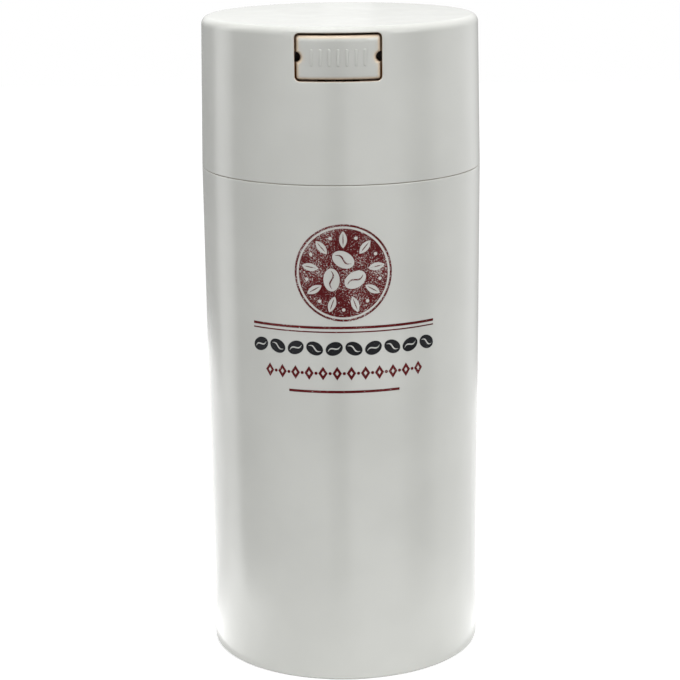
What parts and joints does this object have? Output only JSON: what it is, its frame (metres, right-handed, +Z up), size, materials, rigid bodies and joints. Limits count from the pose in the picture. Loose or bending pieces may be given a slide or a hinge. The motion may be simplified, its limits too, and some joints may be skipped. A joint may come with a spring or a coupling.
{
  "type": "coffee canister",
  "caption": "Tall round airtight coffee canister with a lift-off cap that slides over the neck; a press button in the cap opens an air valve in the sealing piston.",
  "frame": {"origin": "centre of the foot ring, on the surface that the canister stands on", "axes": "+Z up along the axis of the body, -Y to the front where the press button is, +X to the right as seen from the front"},
  "size_m": [0.121, 0.121, 0.282],
  "materials": {
    "shell": "glossy warm white-grey",
    "vessel": "glossy off-white",
    "mechanism": "satin dark brown",
    "acetal": "satin ivory",
    "silicone": "matt grey",
    "steel": "bright drawn wire"
  },
  "bodies": {
    "container": {"outer_body": "shell", "inner_vessel": "vessel"},
    "cap": {"cap_shell": "shell", "inner_cap": "mechanism", "lip_seal": "silicone", "button_guide": "mechanism", "guide_screw_left": "steel", "guide_screw_right": "steel", "button_spring_left": "steel", "button_spring_right": "steel", "lever_pin": "steel", "valve_spring": "steel"},
    "button": {"press_button": "shell"},
    "lever": {"valve_lever": "acetal", "valve_pad": "silicone"}
  },
  "joints": [
    {"name": "cap_lift", "type": "slide", "parent": "container", "child": "cap", "axis": [0, 0, 1], "range_m": [0, 0.1]},
    {"name": "button_press", "type": "slide", "parent": "cap", "child": "button", "axis": [0, 1, 0], "range_m": [0, 0.003], "stiffness_N_per_m": 600, "springref_m": -0.004, "deforming": ["button_spring_left", "button_spring_right"]},
    {"name": "lever_rock", "type": "hinge", "parent": "cap", "child": "lever", "pos_m": [0, -0.031, 0.257], "axis": [-1, 0, 0], "range_deg": [0, 16.4], "stiffness_Nm_per_rad": 0.02, "springref_deg": -22.92, "deforming": ["valve_spring"]}
  ],
  "couplings": [
    {"joint": "lever_rock", "follows": "button_press", "rad_per_m": 94.8}
  ]
}
